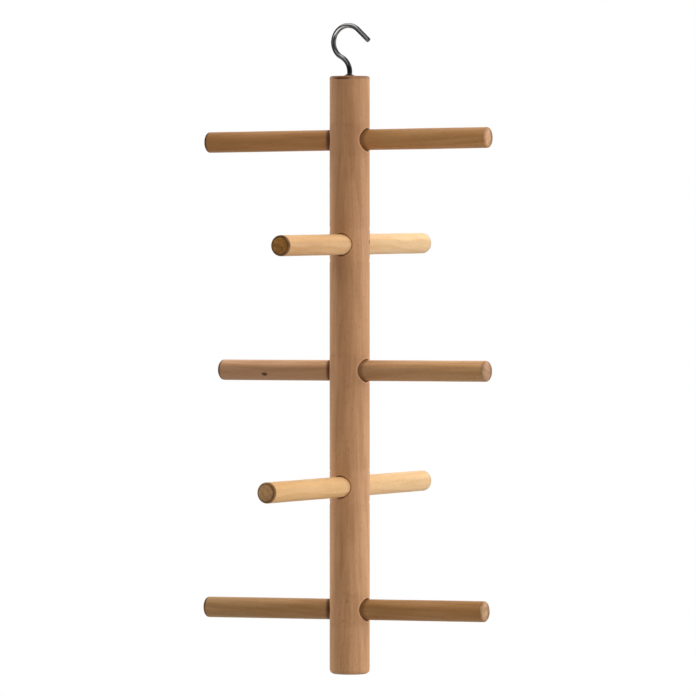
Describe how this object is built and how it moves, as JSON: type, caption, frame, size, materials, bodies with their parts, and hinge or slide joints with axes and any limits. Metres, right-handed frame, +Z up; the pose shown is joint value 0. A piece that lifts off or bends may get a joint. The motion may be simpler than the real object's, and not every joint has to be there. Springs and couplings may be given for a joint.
{
  "type": "bird climbing frame",
  "caption": "Hanging wooden climbing frame for cage birds: a round post with dowel perches set crosswise right through it, hung from an open screw hook.",
  "frame": {"origin": "the saddle of the hook, the inside top of its bowl, on the axis of the post", "axes": "+Z up along the post; +X along the first, third and fifth perches and from the hook's stem towards its tip side; Y along the second and fourth perches"},
  "size_m": [0.1867, 0.1893, 0.3761],
  "materials": {
    "post_wood": "bare sanded beech, pinkish brown, unfinished",
    "perch_wood": "bare sanded hardwood dowel, straw brown, unfinished",
    "plated_steel": "bright plated steel wire"
  },
  "bodies": {
    "hook": {"screw_hook": "plated_steel"},
    "climbing_frame": {"post": "post_wood", "perch_1": "perch_wood", "perch_2": "perch_wood", "perch_3": "perch_wood", "perch_4": "perch_wood", "perch_5": "perch_wood"}
  },
  "joints": [
    {"name": "hook_turn", "type": "hinge", "parent": "hook", "child": "climbing_frame", "pos_m": [0, 0, -0.0277], "axis": [0, 0, 1], "range_deg": [-180, 180]}
  ]
}
